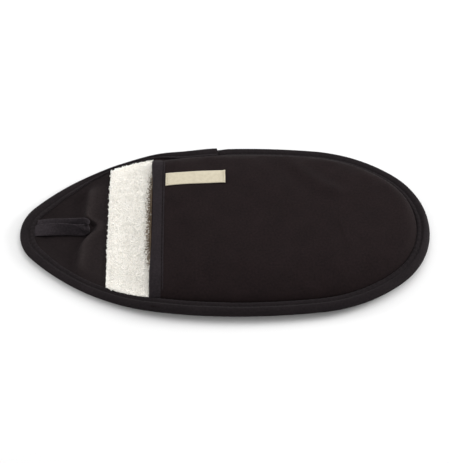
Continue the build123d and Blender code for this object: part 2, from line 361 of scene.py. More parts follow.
class Finish:
    def __init__(self, name):
        self.material = bpy.data.materials.new(name)
        self.material.use_nodes = True
        self.tree = self.material.node_tree
        self.shader = self.tree.nodes["Principled BSDF"]

    def node(self, kind, settings=None, inputs=None, output=0):
        node = self.tree.nodes.new(kind)
        for key, value in (settings or {}).items():
            setattr(node, key, value)
        for key, value in (inputs or {}).items():
            plug(self.tree, node.inputs[key], value)
        return Wire(self.tree, node.outputs[output])

    # The cloth's own UV map, whole and in its two parts
    def cloth(self):
        place = self.node("ShaderNodeUVMap", {"uv_map": "cloth"})
        parts = self.tree.nodes.new("ShaderNodeSeparateXYZ")
        plug(self.tree, parts.inputs[0], place)
        return place, Wire(self.tree, parts.outputs[0]), Wire(self.tree, parts.outputs[1])

    def noise(self, place, scale, detail):
        return self.node("ShaderNodeTexNoise", None, {"Vector": place, "Scale": scale, "Detail": detail})

    # Mixes two colours, each of them wired or written
    def mix(self, share, first, second):
        colours = [c if isinstance(c, Wire) else linear(*c) for c in (first, second)]
        return self.node("ShaderNodeMix", {"data_type": "RGBA"}, {0: share, 6: colours[0], 7: colours[1]}, 2)

    def finish(self, colour, roughness, fixed, height=None, depth=0.0, strength=0.0):
        plug(self.tree, self.shader.inputs["Base Color"], colour)
        plug(self.tree, self.shader.inputs["Roughness"], roughness)
        for key, value in fixed.items():
            self.shader.inputs[key].default_value = value
        if height is not None:
            relief = {"Height": height, "Distance": depth, "Strength": strength}
            plug(self.tree, self.shader.inputs["Normal"], self.node("ShaderNodeBump", None, relief))
        return self.material


# Brown shade on the terry at the open mouth, in millimetres along and across the mitt
shade = {
    "x": mouthX / mm - 5.2,
    "run": 2.5,
    "wide": 9.5,
    "fade": 2.5,
    "deep": 0.4,
    "y": 9.0,
    "reach": 64.0,
    "closing": 3.0,
    "ragged": 7.0,
    "raggedInside": 5.0,
    "most": 0.93,
    "colour": (112, 88, 54),
}


# How deep a place on the terry lies in that shade, ragged along its edge and weaker inside the pocket
def mouthShade(f, place, u, v):
    off = (v - shade["y"]) / shade["reach"]
    closed = off * off * off * off
    ragged = f.noise(place, 0.65, 3.0) - 0.5
    outer = (u - shade["x"]) / shade["run"] + ragged * shade["ragged"] - closed * shade["closing"]
    inner = (shade["x"] + shade["wide"] - u) / shade["fade"] + ragged * shade["raggedInside"]
    inner = inner.math("MAXIMUM", shade["deep"])
    return (outer.math("MINIMUM", inner) * 0.9).clamp(shade["most"])


# Twill: raised lines across the cloth at a slant, crossed by single threads; the pitch is in millimetres
def twillFinish(name, dark, light, warm, pitch, slant, sheen, paintedCrestLight=None):
    f = Finish(name)
    place, u, v = f.cloth()
    lines = ((u * math.cos(slant) + v * math.sin(slant)) * (2 * math.pi / pitch)).math("SINE")
    threads = ((u * math.sin(slant) - v * math.cos(slant)) * (2 * math.pi / (pitch * 0.62))).math("SINE")
    weave = lines * 0.35 + threads * lines * 0.15 + 0.5
    blot = f.noise(place, 0.05, 4.0)
    grain = f.noise(place, 0.55, 2.0)
    fluff = f.noise(place, 1.6, 3.0)
    share = weave * 0.3 + (blot - 0.5) * 0.7 + (grain - 0.5) * 1.3 + (fluff - 0.5) * 0.5 + 0.32
    colour = f.mix(share.clamp(), dark, light)
    colour = f.mix(f.noise(place, 0.16, 2.0) * 0.4, colour, warm)
    # Painted highlight: the cloth is mixed towards a lighter colour where the crest-highlight attribute is
    # set, for the light on the step's crest
    if paintedCrestLight:
        crestHighlight = f.node("ShaderNodeAttribute", {"attribute_name": "crestHighlight"}, None, 2)
        colour = f.mix((crestHighlight * (grain + 0.2)).clamp(), colour, paintedCrestLight)
    fixed = {"Sheen Weight": sheen, "Sheen Roughness": 0.4, "Specular IOR Level": 0.12}
    return f.finish(colour, 0.97 - weave * 0.1, fixed, weave + fluff * 0.5, 0.18 * mm, 0.45)


def terryFinish(name, dark, light, shaded):
    f = Finish(name)
    place, u, v = f.cloth()
    curls = f.node("ShaderNodeTexVoronoi", {"feature": "F1"}, {"Vector": place, "Scale": 0.75})
    share = (f.noise(place, 0.12, 3.0) * 0.6 + 0.75 - curls * 0.55).clamp()
    colour = f.mix(share, dark, light)
    if shaded:
        colour = f.mix(mouthShade(f, place, u, v), colour, shade["colour"])
    fixed = {"Sheen Weight": 0.2, "Sheen Roughness": 0.6, "Specular IOR Level": 0.2}
    return f.finish(colour, 0.95 - share * 0.05, fixed, 1.0 - curls, 0.7 * mm, 0.8)


def pileFinish(name, dark, light):
    f = Finish(name)
    place, u, v = f.cloth()
    share = f.noise(place, 0.35, 4.0) * 0.6 + f.noise(place, 2.2, 2.0) * 0.5 - 0.05
    colour = f.mix(share.clamp(), dark, light)
    colour = f.mix(mouthShade(f, place, u, v), colour, shade["colour"])
    fixed = {"Sheen Weight": 0.25, "Sheen Roughness": 0.6, "Specular IOR Level": 0.15}
    return f.finish(colour, 0.96 - share * 0.06, fixed)


def waddingFinish(name, dark, light):
    f = Finish(name)
    fibre = f.noise(f.cloth()[0], 0.9, 6.0)
    colour = f.mix(fibre, dark, light)
    return f.finish(colour, 0.98 - fibre * 0.05, {"Specular IOR Level": 0.15}, fibre, 0.8 * mm, 0.7)


def labelFinish(name, dark, light):
    f = Finish(name)
    place, u, v = f.cloth()
    warp = (u * (2 * math.pi / 0.42)).math("SINE")
    weft = (v * (2 * math.pi / 0.55)).math("SINE")
    weave = warp * weft * 0.25 + weft * 0.2 + 0.5
    share = (weave * 0.5 + f.noise(place, 0.3, 4.0) * 0.7 - 0.1).clamp()
    colour = f.mix(share, dark, light)
    fixed = {"Sheen Weight": 0.15, "Specular IOR Level": 0.3}
    return f.finish(colour, 0.8 - weave * 0.12, fixed, weave, 0.1 * mm, 0.5)


def threadFinish(name, dark, light):
    f = Finish(name)
    place = f.node("ShaderNodeTexCoord", None, None, 3)
    twist = f.node("ShaderNodeTexWave", {"bands_direction": "DIAGONAL"}, {"Vector": place, "Scale": 900.0})
    colour = f.mix(twist, dark, light)
    return f.finish(colour, 0.92 - twist * 0.1, {"Specular IOR Level": 0.15}, twist, 0.05 * mm, 0.5)


# Colours are written as red, green and blue; cloths go on with pitch, slant and sheen
terryDark, terryLight = (230, 222, 208), (253, 250, 244)
finishes = {
    "twill": twillFinish("blackTwill", (11, 6, 7), (31, 22, 23), (25, 15, 15), 0.85, 1.05, 0.015),
    # The facing's lighter colour on the step's crest is a painted highlight
    "facing": twillFinish(
        "facingTwill", (13, 9, 10), (33, 26, 27), (26, 19, 20), 0.85, 2.1, 0.015, paintedCrestLight=(43, 37, 37)
    ),
    "tape": twillFinish("bindingTwill", (12, 9, 11), (35, 29, 31), (26, 21, 23), 0.7, 0.75, 0.06),
    "mouth": twillFinish("mouthTape", (17, 14, 16), (44, 38, 41), (34, 29, 32), 0.7, 0.75, 0.02),
    # The loop tape is coloured lighter than the binding tape: a painted highlight for the light on its
    # leaning face
    "loop": twillFinish("loopTape", (23, 20, 22), (55, 49, 53), (43, 38, 41), 0.7, 0.75, 0.02),
    "terry": terryFinish("creamTerry", terryDark, terryLight, True),
    "lining": terryFinish("creamLining", terryDark, terryLight, False),
    "pile": pileFinish("terryPile", (250, 246, 238), (255, 255, 252)),
    "wadding": waddingFinish("wadding", (205, 200, 190), (238, 235, 228)),
    "label": labelFinish("labelRibbon", (160, 151, 128), (206, 198, 177)),
    "thread": threadFinish("blackThread", (18, 15, 16), (34, 29, 30)),
    "labelThread": threadFinish("creamThread", (150, 142, 120), (205, 198, 180)),
}
print("finishes ready", len(finishes))


def dress(piece, finish):
    piece.data.materials.clear()
    piece.data.materials.append(finishes[finish])


# Sewn to the back: a piece, its finish, a slot that is not used, and the nodes that it stands for
def sewToBack(piece, finish, slot, *nodes):
    dress(piece, finish)
    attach(piece, "mitt")
    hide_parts(*nodes)
    return piece


def pocketLift(piece):
    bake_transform(piece)


def sewToPocket(piece, finish, slot, *nodes):
    dress(piece, finish)
    pocketLift(piece)
    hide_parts(*nodes)
    return piece


# Camera at the photograph's angle: the lens is for a 36 mm sensor on the picture's long side
camera = {
    "lens": 124.53,
    "sensor": 36.0,
    "elevation": 52.0,
    "turn": -0.5513,
    "distance": 1.4159,
    "target": (0.00014, 0.00425, 0.0),
}
eye = bpy.data.objects.new("camera", bpy.data.cameras.new("camera"))
scene.collection.objects.link(eye)
scene.camera = eye
eye.data.lens = camera["lens"]
eye.data.sensor_width = camera["sensor"]
tilt, turn = math.radians(camera["elevation"]), math.radians(camera["turn"])
away = Vector((0, -math.cos(tilt), math.sin(tilt))) * camera["distance"] + Vector(camera["target"])
eye.location = (
    away.x * math.cos(turn) - away.y * math.sin(turn),
    away.x * math.sin(turn) + away.y * math.cos(turn),
    away.z,
)
eye.rotation_euler = (math.pi / 2 - tilt, 0, turn)

# Soft studio light and a pale floor that is white to the camera and still takes the shadow
studio = {
    "world": 0.68,
    "key": 11.8,
    "keyPlace": (0.3, 0.5, 1.3),
    "keySize": 1.7,
    "right": 13.0,
    "rightPlace": (1.3, 0.3, 0.55),
    "left": 8.0,
    "leftPlace": (-1.3, 0.25, 0.5),
    "sideSize": 0.5,
    "floorTone": 0.76,
    "floorGlow": 0.014,
    "floorSize": 6.0,
    "floorDrop": 0.1 * mm,
}
world = bpy.data.worlds.new("studio")
scene.world = world
world.use_nodes = True
backdrop = world.node_tree.nodes["Background"]
backdrop.inputs["Color"].default_value = (1, 1, 1, 1)
backdrop.inputs["Strength"].default_value = studio["world"]


def softbox(name, place, size, power):
    lamp = bpy.data.lights.new(name, "AREA")
    lamp.energy = power
    lamp.size = size
    box = bpy.data.objects.new(name, lamp)
    scene.collection.objects.link(box)
    box.location = place
    box.rotation_euler = (-Vector(place)).to_track_quat("-Z", "Y").to_euler()


def paperFinish():
    f = Finish("paperFloor")
    rays = f.tree.nodes.new("ShaderNodeLightPath")
    seen = Wire(f.tree, rays.outputs["Is Camera Ray"])
    for kind in ("Is Glossy Ray", "Is Transmission Ray"):
        seen = seen.math("MAXIMUM", Wire(f.tree, rays.outputs[kind]))
    glow = f.node("ShaderNodeEmission", None, {"Strength": seen * studio["floorGlow"]})
    both = f.node("ShaderNodeAddShader", None, {0: Wire(f.tree, f.shader.outputs[0]), 1: glow})
    plug(f.tree, f.tree.nodes["Material Output"].inputs["Surface"], both)
    tone = studio["floorTone"]
    return f.finish((tone, tone, tone, 1), 1.0, {"Specular IOR Level": 0.0})


softbox("keySoftbox", studio["keyPlace"], studio["keySize"], studio["key"])
softbox("rightSoftbox", studio["rightPlace"], studio["sideSize"], studio["right"])
softbox("leftSoftbox", studio["leftPlace"], studio["sideSize"], studio["left"])
half = studio["floorSize"] / 2
floorMesh = bpy.data.meshes.new("floor")
floorMesh.from_pydata(
    [(-half, -half, 0), (half, -half, 0), (half, half, 0), (-half, half, 0)], [], [(0, 1, 2, 3)]
)
floorMesh.materials.append(paperFinish())
floor = newObject("floor", floorMesh)
floor.location.z = -studio["floorDrop"]
print("camera, lights and floor ready")

# Black thread of the seams
stitches = {"pitch": 4.0 * mm, "length": 2.9 * mm, "rise": 0.3 * mm, "radius": 0.24 * mm}

# Edge binding: bias tape rolled round the rim, its seam near the inner edge, its end lapped on the far side
binding = {
    "stations": 720,
    "cloth": 0.8 * mm,
    "wobble": 0.22 * mm,
    "ripple": 0.12 * mm,
    "pucker": 0.2 * mm,
    "seamIn": 3.9 * mm,
    "roll": 5.8 * mm,
    "farRoll": 3.3 * mm,
    "slope": 1.35,
    "lapX": -6.3 * mm,
    "lapStep": 1.0 * mm,
    "lapFade": 34.0 * mm,
    "lapDip": 11.0 * mm,
    "lapEdge": 0.15 * mm,
    "farNarrow": 6.3 * mm,
    "tipWiden": 1.1 * mm,
    "rootLift": 0.5 * mm,
    "rootX": -160.0 * mm,
    "rootY": 4.5 * mm,
    "rootReach": 9.0 * mm,
}


# Height of the binding's upper side: over the loop's root, the terry and the pocket's margin
def lipTop(x, y):
    root = np.exp(-((y - binding["rootY"]) / binding["rootReach"]) ** 2)
    overRoot = binding["rootLift"] * root * ramp(-x, -binding["rootX"], 6 * mm)
    overTerry = (terryTop - cuffTop) * ramp(x, seamX - 18 * mm, 30 * mm)
    overPocket = (flangeTop - terryTop) * ramp(x, mouthX - 32 * mm, 46 * mm)
    return cuffTop + binding["cloth"] + overRoot + overTerry + overPocket


# Width of the upper turn: drawn in beside the terry on the far side
def lipWidth(x, y):
    strip = ramp(x, seamX - 55 * mm, 58 * mm) * ramp(-x, -mouthX - 34 * mm, 40 * mm)
    tip = binding["tipWiden"] * ramp(-x, 148 * mm, 20 * mm)
    return plan["tapeWidth"] + tip - binding["farNarrow"] * strip * (y > 0)


# The lip's section in millimetres: inwards from its edge, upwards, and how loosely the cloth lies
def lipSection():
    s = binding["seamIn"] / mm
    return [
        (-0.1, -0.8, 0), (0.1, -0.4, 0.3), (-0.15, 0.02, 0.6), (-0.9, 0.3, 1), (-1.8, 0.34, 1),
        (-s + 1.1, 0.16, 0.8), (-s + 0.45, -0.18, 0.2), (-s, -0.36, 0), (-s - 0.5, -0.14, 0.1),
        (-s - 1.1, 0.16, 0.3),
    ]


# Distances along the rim, close together where the tape's end is lapped
def bindingStations():
    even = np.linspace(0, rimLength, binding["stations"], endpoint=False)
    rim = rimAt(even)[0]
    far = np.where(rim[:, 1] > 0)[0]
    lap = np.interp(-binding["lapX"], -rim[far, 0], even[far])
    edge = binding["lapEdge"]
    return np.sort(np.concatenate([even, [lap - edge, lap + edge]])), lap


# Insets and heights of the tape's rows: over the lip, round the rim, back below and along the inside
def bindingRows(along, lap, rim, normal):
    x, y = rim.T
    width = lipWidth(x, y) + binding["wobble"] * hills(along, along * 0, 0.03, 5)
    share = width / plan["tapeWidth"]
    top = lipTop(x, y) + binding["ripple"] * hills(along, along * 0, 0.05, 6)
    low = np.full_like(x, rimLow.z)
    past = along - lap
    over = binding["lapStep"] * (1 - smooth(past / binding["lapFade"]))
    dip = -0.8 * binding["lapStep"] * (1 - smooth(-past / binding["lapDip"]))
    step = np.where(past > 0, over, dip)
    beat = 0.5 + 0.5 * np.cos(2 * math.pi * along / stitches["pitch"])
    drag = binding["pucker"] * np.cos(2 * math.pi * along / (stitches["pitch"] * 1.37) + 1.0)
    lip = lipSection()
    rows = []
    for inward, lift, loose in lip:
        inset = width + inward * mm * share
        z = top + lift * mm + loose * drag - (1 - loose) * 0.1 * mm * beat * (lift > -0.4)
        rows.append((inset, z + step * (inset < width - 0.5 * mm)))
    near = smooth((0.35 - normal[:, 1]) / 0.5)
    roll = (binding["farRoll"] + (binding["roll"] - binding["farRoll"]) * near) * share
    slope = 1 + (binding["slope"] - 1) * near
    middle = (top + low) / 2 + 0.05 * mm
    half = (top - low) / 2 + 0.42 * mm
    for turn in np.linspace(math.pi / 2, -math.pi / 2, 13):
        bulge = step * np.where(turn > -0.6, 1.0, 0.4)
        out = abs(math.cos(turn)) ** slope
        up = abs(math.sin(turn)) ** slope * np.sign(turn)
        inset = roll * (1 - out) - bulge * math.cos(turn)
        rows.append((inset, middle + half * up + bulge * math.sin(turn)))
    for inward, lift, loose in lip[::-1]:
        inset = plan["tapeWidth"] + inward * mm + 0 * x
        rows.append((inset, low - lift * 0.8 * mm - 0.1 * mm + 0.5 * loose * drag))
    rows += [(plan["tapeWidth"] - 1.2 * mm + 0 * x, low + 0.8 * mm), (roll + 1.2 * mm, low + 0.8 * mm)]
    for turn in np.linspace(-math.pi / 2, math.pi / 2, 7):
        inset = roll + 1.0 * mm - roll * 0.85 * math.cos(turn)
        rows.append((inset, middle + (half - 1.2 * mm) * math.sin(turn)))
    return rows + [(roll + 1.2 * mm, top - 0.75 * mm), (width - 1.2 * mm, top - 0.75 * mm)]


def bindingPiece():
    along, lap = bindingStations()
    rim, normal = rimAt(along)
    rows = bindingRows(along, lap, rim, normal)
    points = np.array([np.concatenate([rim - normal * d[:, None], z[:, None]], 1) for d, z in rows])
    section = np.concatenate([points, points[:1]], 0)[:, 0]
    uv = sectionUv(runLength(section), np.concatenate([along, [along[0] + rimLength]]))
    piece = shadeSmooth(newObject("edgeBinding", gridMesh("edgeBinding", points, uv, True, True)))
    return sewToBack(piece, "tape", "tape", "edge_binding")


bindingPiece()
print("edge binding ready")

# Pocket: three layers sewn into the rim, the outer one puffed over the wadding
pocket = {
    "insets": [
        2.5, 6, 9.5, 10.7, 11.2, 11.6, 12.1, 12.8, 13.7, 14.9, 16.4, 18.2, 20.4, 23.0, 26.2, 29.8, 34,
    ],
    "innerSteps": 12,
    "stations": 300,
    "crestX": 40.0 * mm,
    "acrossRadius": 698.0 * mm,
    "alongRadius": 1821.5 * mm,
    "softness": 0.4 * mm,
    "foldFrom": (60.0 * mm, 64.0 * mm),
    "foldTo": (106.0 * mm, 26.0 * mm),
    "foldBend": 5.0 * mm,
    "foldRise": 2.1 * mm,
    "foldWide": 7.0 * mm,
    "groove": 1.3 * mm,
    "edgeRound": 12.5 * mm,
    "nearRound": 24.0 * mm,
    "layers": 7.2 * mm,
    "lining": 1.8 * mm,
    "liningRound": 9.0 * mm,
    "cloth": 0.7 * mm,
    "shellIn": 0.6 * mm,
    "padsIn": 3.4 * mm,
    "padInset": 3.0 * mm,
    "padInnerSteps": 8,
    "padStations": 180,
    "pressure": 0.35,
    "spare": 0.003,
    "most": 1.5 * mm,
}
pocketInsets = [d * mm for d in pocket["insets"]]


# The crowned roof: it falls from its crest in one arc to the sides and in another along the mitt
def roofAt(x, y):
    across, along = pocket["acrossRadius"], pocket["alongRadius"]
    reach = along - across + np.sqrt(across ** 2 - y ** 2)
    return pocketCrest - along + np.sqrt(reach ** 2 - (x - pocket["crestX"]) ** 2)


# A soft fold that runs in from the far side towards the finger end
def pocketFold(x, y):
    (x0, y0), (x1, y1) = pocket["foldFrom"], pocket["foldTo"]
    length = math.hypot(x1 - x0, y1 - y0)
    ux, uy = (x1 - x0) / length, (y1 - y0) / length
    along = ((x - x0) * ux + (y - y0) * uy) / length
    off = (y - y0) * ux - (x - x0) * uy + pocket["foldBend"] * (1 - (2 * along - 1) ** 2)
    fade = smooth(along / 0.25 + 0.4) * smooth((1.25 - along) / 0.5)
    return pocket["foldRise"] * fade * np.exp(-(off / pocket["foldWide"]) ** 2)


# The shell's outer face: a groove inside the binding, then a round rise to the roof, longer on the near side
def pocketTop(x, y, d):
    seat = flangeTop - 0.3 * mm - pocket["groove"] * ramp(d, 9.5 * mm, 1.6 * mm)
    near = smooth(0.5 - y / (60 * mm))
    run = pocket["edgeRound"] + (pocket["nearRound"] - pocket["edgeRound"]) * near
    rise = roundUp((d - 11.5 * mm) / run) ** (0.85 + 0.25 * near)
    soft = pocket["softness"] * hills(x, y, 0.085, 3) + pocketFold(x, y)
    return seat + (roofAt(x, y) - seat) * rise + soft * ramp(d, 15 * mm, 12 * mm)


def liningUnder(x, y, d):
    base = terryTop + 0.6 * mm
    rise = roundUp((d - 13.4 * mm) / pocket["liningRound"])
    return base + (roofAt(x, y) - pocket["layers"] - base) * rise


def liningTop(x, y, d):
    return np.minimum(liningUnder(x, y, d) + pocket["lining"], pocketTop(x, y, d) - 1.2 * mm)


def battingTop(x, y, d):
    return pocketTop(x, y, d) - 0.9 * mm - 0.7 * mm * ramp(d, 11.5 * mm, 3 * mm)


def battingUnder(x, y, d):
    return liningTop(x, y, d) + 0.1 * mm


# Blows a cloth surface out with a little spare cloth, held where the pin weight is 1
def puffCloth(piece, pins, pressure, spare, most):
    before = pointsOf(piece)
    group = piece.vertex_groups.new(name="held")
    for k, weight in enumerate(pins):
        group.add([k], float(weight), "REPLACE")
    cloth = piece.modifiers.new("cloth", "CLOTH")
    settings = cloth.settings
    settings.quality = 8
    settings.mass = 0.2
    settings.tension_stiffness = 18
    settings.compression_stiffness = 18
    settings.shear_stiffness = 8
    settings.bending_stiffness = 0.35
    settings.vertex_group_mass = "held"
    settings.pin_stiffness = 1.0
    settings.shrink_min = -spare
    settings.use_pressure = True
    settings.uniform_pressure_force = pressure
    settings.effector_weights.gravity = 0.0
    cloth.collision_settings.use_collision = False
    for number in range(1, 21):
        scene.frame_set(number)
    applyModifiers(piece)
    scene.frame_set(1)
    move = pointsOf(piece) - before
    far = np.linalg.norm(move, axis=1, keepdims=True)
    after = before + move * np.minimum(1, most / np.maximum(far, 1e-9))
    after[:, 2] = np.maximum(after[:, 2], before[:, 2] - 0.5 * mm)
    piece.data.vertices.foreach_set("co", after.astype(np.float32).reshape(-1))
    piece.vertex_groups.clear()
    print("puffed", piece.name, "moved up to", round(float(far.max()) / mm, 2), "mm")


def pocketShellPiece():
    mesh = panelMesh("pocketShell", pocketInsets, pocket["innerSteps"], pocket["stations"], pocketTop)
    piece = cleanMesh(newObject("pocketShell", mesh), [(mouthX + pocket["shellIn"], True)])
    points = pointsOf(piece)
    free = ramp(insetAt(points[:, :2]), 12.5 * mm, 4 * mm)
    free = free * ramp(points[:, 0], mouthX + 12.5 * mm, 6 * mm)
    puffCloth(piece, 1 - free, pocket["pressure"], pocket["spare"], pocket["most"])
    piece = thicken(piece, pocket["cloth"])
    sewToPocket(piece, "twill", "twill", "pocket_shell", "pocket_shell_seam")
    return piece


def pocketPad(name, top, bottom, finish, slot, *nodes):
    insets = [pocket["padInset"]] + pocketInsets[1:]
    cuts = [(mouthX + pocket["padsIn"], True)]
    piece = padPiece(name, insets, pocket["padInnerSteps"], pocket["padStations"], top, bottom, cuts)
    return sewToPocket(piece, finish, slot, *nodes)


pocketShell = pocketShellPiece()
pocketBatting = pocketPad(
    "pocketBatting", battingTop, battingUnder, "wadding", "wadding", "pocket_batting", "pocket_batting_seam"
)
pocketLining = pocketPad(
    "pocketTerryLining", liningTop, liningUnder, "lining", "terry", "pocket_terry_lining", "pocket_terry_seam"
)
print("pocket ready")

# Mouth tape: folded over the pocket's edge and its lining, with its seam near the inner border
mouth = {
    "samples": 170,
    "readIn": 5.0 * mm,
    "endInset": 9.4 * mm,
    "width": 11.6 * mm,
    "seamIn": 1.7 * mm,
    "front": 2.3 * mm,
    "under": 0.75 * mm,
    "least": 0.7 * mm,
    "bow": 1.5 * mm,
    "bowY": 8.0 * mm,
    "bowReach": 62.0 * mm,
}


# Places along the mouth, from the near rim to the far one, on the pocket's outer face
def mouthPath():
    x = mouthX + mouth["readIn"]
    reach = float(halfWidth(x))
    y = np.linspace(-reach, reach, 700)
    d = insetAt(np.stack([np.full_like(y, x), y], -1))
    keep = d > mouth["endInset"]
    y, d = y[keep], d[keep]
    z = pocketTop(np.full_like(y, x), y, d)
    length = runLength(np.stack([y, z], -1))
    even = np.linspace(0, length[-1], mouth["samples"])
    y, z = np.interp(even, length, y), np.interp(even, length, z)
    return y, z, unit(np.stack([np.gradient(y), np.gradient(z)], -1)), even


# Rows of the tape's section: inwards from the mouth in millimetres, and out from the pocket's face
def mouthRows(y, thick):
    w, s = mouth["width"] / mm, (mouth["width"] - mouth["seamIn"]) / mm
    face = [
        (w - 0.2, 0.1), (w, 0.4), (w - 0.25, 0.7), (s + 0.6, 0.66), (s, -0.1),
        (s - 0.75, 0.74), (s - 1.9, 1.04), (4.0, 1.1), (2.4, 1.08),
    ]
    below = [(4, 0.0), (8, 0.0), (w - 0.8, 0.05), (w - 0.5, 0.4), (w - 0.8, 0.75), (3, 0.8)]
    rows = [(e, n * mm + 0 * y) for e, n in face]
    for turn in np.linspace(math.pi / 2, math.pi * 1.5, 11):
        e = 1.6 + mouth["front"] / mm * math.cos(turn)
        rows.append((e, (1.05 * mm - thick) / 2 + (1.05 * mm + thick) / 2 * math.sin(turn)))
    rows += [(e, n * mm - thick) for e, n in below]
    return rows + [(1.4, -thick * 0.5), (2.4, 0.2 * mm + 0 * y), (w - 1.0, 0.05 * mm + 0 * y)]


def mouthTapePiece():
    y, z, slope, along = mouthPath()
    out = np.stack([-slope[:, 1], slope[:, 0]], -1)
    x = np.full_like(y, mouthX + mouth["readIn"])
    under = liningUnder(x, y, insetAt(np.stack([x, y], -1))) - mouth["under"]
    thick = np.maximum(z - np.maximum(under, terryTop + 0.3 * mm), mouth["least"])
    bow = mouth["bow"] * np.maximum(0, 1 - ((y - mouth["bowY"]) / mouth["bowReach"]) ** 2)
    points = np.array([
        np.stack([mouthX + e * mm + bow * max(0, 1 - e / 6), y + out[:, 0] * n, z + out[:, 1] * n], -1)
        for e, n in mouthRows(y, thick)
    ])
    middle = points[:, len(y) // 2]
    piece = tapePiece("mouthBinding", points, runLength(np.concatenate([middle, middle[:1]])), along)
    return sewToPocket(piece, "mouth", "tape", "mouth_binding")


mouthBinding = mouthTapePiece()
print("mouth tape ready")

# Back panel: shell below, wadding, and the terry above
back = {
    "insets": [2.5, 6, 9.5, 10.8, 11.6, 12.6, 14, 16, 18.5, 21.5, 25, 29, 34],
    "innerSteps": 10,
    "stations": 260,
    "cloth": 0.7 * mm,
    "seat": 3.5 * mm,
    "edgeRound": 9.0 * mm,
    "softness": 0.18 * mm,
    "terryPuff": 3.0 * mm,
    "terryPlay": 0.25 * mm,
    "terryDip": 1.4 * mm,
    "terryFar": 3.4 * mm,
    "terryNear": 9.0 * mm,
    "cuffHollow": 2.2 * mm,
}
backInsets = [d * mm for d in back["insets"]]
cuffEdge = seamX + 1.4 * mm


def backUnder(x, y, d):
    drop = roundUp((d - 11.0 * mm) / back["edgeRound"])
    soft = back["softness"] * (1 + hills(x, y, 0.07, 11)) * ramp(d, 14 * mm, 10 * mm)
    return back["seat"] * (1 - drop) + soft


# The terry's height: puffed in the open strip, and further out to the rim on the far side
def terryHeight(x, y, d):
    strip = ramp(x, cuffEdge - 0.7 * mm, 2.6 * mm) * ramp(-x, -mouthX - 22 * mm, 16 * mm)
    puff = back["terryPuff"] * strip * ramp(d, np.where(y > 0, back["terryFar"], back["terryNear"]), 3 * mm)
    play = back["terryPlay"] * hills(x, y, 0.022, 21)
    return terryTop - 0.9 * mm + puff + play * ramp(d, 10 * mm, 5 * mm)


def terryPadTop(x, y, d):
    return terryHeight(x, y, d) - back["terryDip"] * (1 - ramp(x, cuffEdge + 1 * mm, 4 * mm))


def terryPadUnder(x, y, d):
    return np.full_like(x, cuffTop - 0.8 * mm)


def backBattingTop(x, y, d):
    hollow = ramp(d, 10 * mm, 9 * mm) * ramp(-x, -seamX, 8 * mm)
    return cuffTop - 1.0 * mm - back["cuffHollow"] * hollow


def backBattingUnder(x, y, d):
    return backUnder(x, y, d) + 0.85 * mm


def backShellPiece():
    sizes = backInsets, back["innerSteps"], back["stations"]
    mesh = panelMesh("backShell", *sizes, backUnder, upwards=False)
    piece = thicken(cleanMesh(newObject("backShell", mesh)), back["cloth"])
    sewToBack(piece, "twill", "twill", "back_shell")
    return piece


def backPad(name, top, bottom, finish, node, cuts=()):
    piece = padPiece(name, backInsets, back["innerSteps"], back["stations"], top, bottom, cuts)
    return sewToBack(piece, finish, finish, node)


backShellPiece()
backBatting = backPad("backBatting", backBattingTop, backBattingUnder, "wadding", "back_batting")
backTerry = backPad(
    "backTerryLining", terryPadTop, terryPadUnder, "terry", "back_terry_lining", [(seamX - 2.4 * mm, True)]
)
print("back panel ready")

# Cuff facing: lies in a hollow under the loop, then steps up over the padding beside the terry
cuff = {
    "cloth": 0.4 * mm,
    "innerSteps": 30,
    "stations": 480,
    "hollow": 2.2 * mm,
    "stepX": -127.6 * mm,
    "stepRun": 4.5 * mm,
    "stepRise": 7.2 * mm,
    "slant": 0.08,
    "ease": 4.0 * mm,
    "easeRun": 11.0 * mm,
    "bow": 11.0 * mm,
    "bowY": 7.0 * mm,
    "bowFar": 4.5 * mm,
    "bowNear": 14.0 * mm,
    "softness": 0.3 * mm,
    "edgeLift": 1.5 * mm,
    "hem": [(0.35, -0.35), (-0.1, -0.75), (-1.6, -0.7)],
}


# How far a place lies past the foot of the step, which bows out round the loop's end
def pastStep(x, y):
    side = y - cuff["bowY"]
    bow = np.exp(-(side / np.where(side > 0, cuff["bowFar"], cuff["bowNear"])) ** 2)
    return x - cuff["stepX"] - cuff["slant"] * y - cuff["bow"] * bow, bow


def facingTop(x, y, d):
    inside = ramp(d, 10.5 * mm, 13 * mm)
    past, bow = pastStep(x, y)
    step = cuff["stepRise"] * smooth(past / cuff["stepRun"]) * (1 - 0.45 * bow)
    ease = cuff["ease"] * ramp(past, cuff["stepRun"], cuff["easeRun"]) * (1 - 0.7 * bow)
    soft = cuff["softness"] * hills(x, y, 0.035, 17)
    z = cuffTop - 0.1 * mm + inside * (step - cuff["hollow"] - ease + soft)
    return z + cuff["edgeLift"] * ramp(x, cuffEdge - 10 * mm, 10 * mm) * (1 - inside)


# Painted highlight: paler cloth from the crest of the step to the seam, standing in for the light that the
# crest catches
def paintCrestHighlight(piece):
    points = pointsOf(piece)
    past = pastStep(points[:, 0], points[:, 1])[0] / cuff["stepRun"]
    paintedCrestLight = ramp(past, 0.5, 0.6) * (0.35 + 0.65 * np.exp(-((past - 1.2) / 1.1) ** 2))
    paintedCrestLight = paintedCrestLight * ramp(insetAt(points[:, :2]), 12 * mm, 10 * mm)
    layer = piece.data.attributes.new("crestHighlight", "FLOAT", "POINT")
    layer.data.foreach_set("value", paintedCrestLight.astype(np.float32))


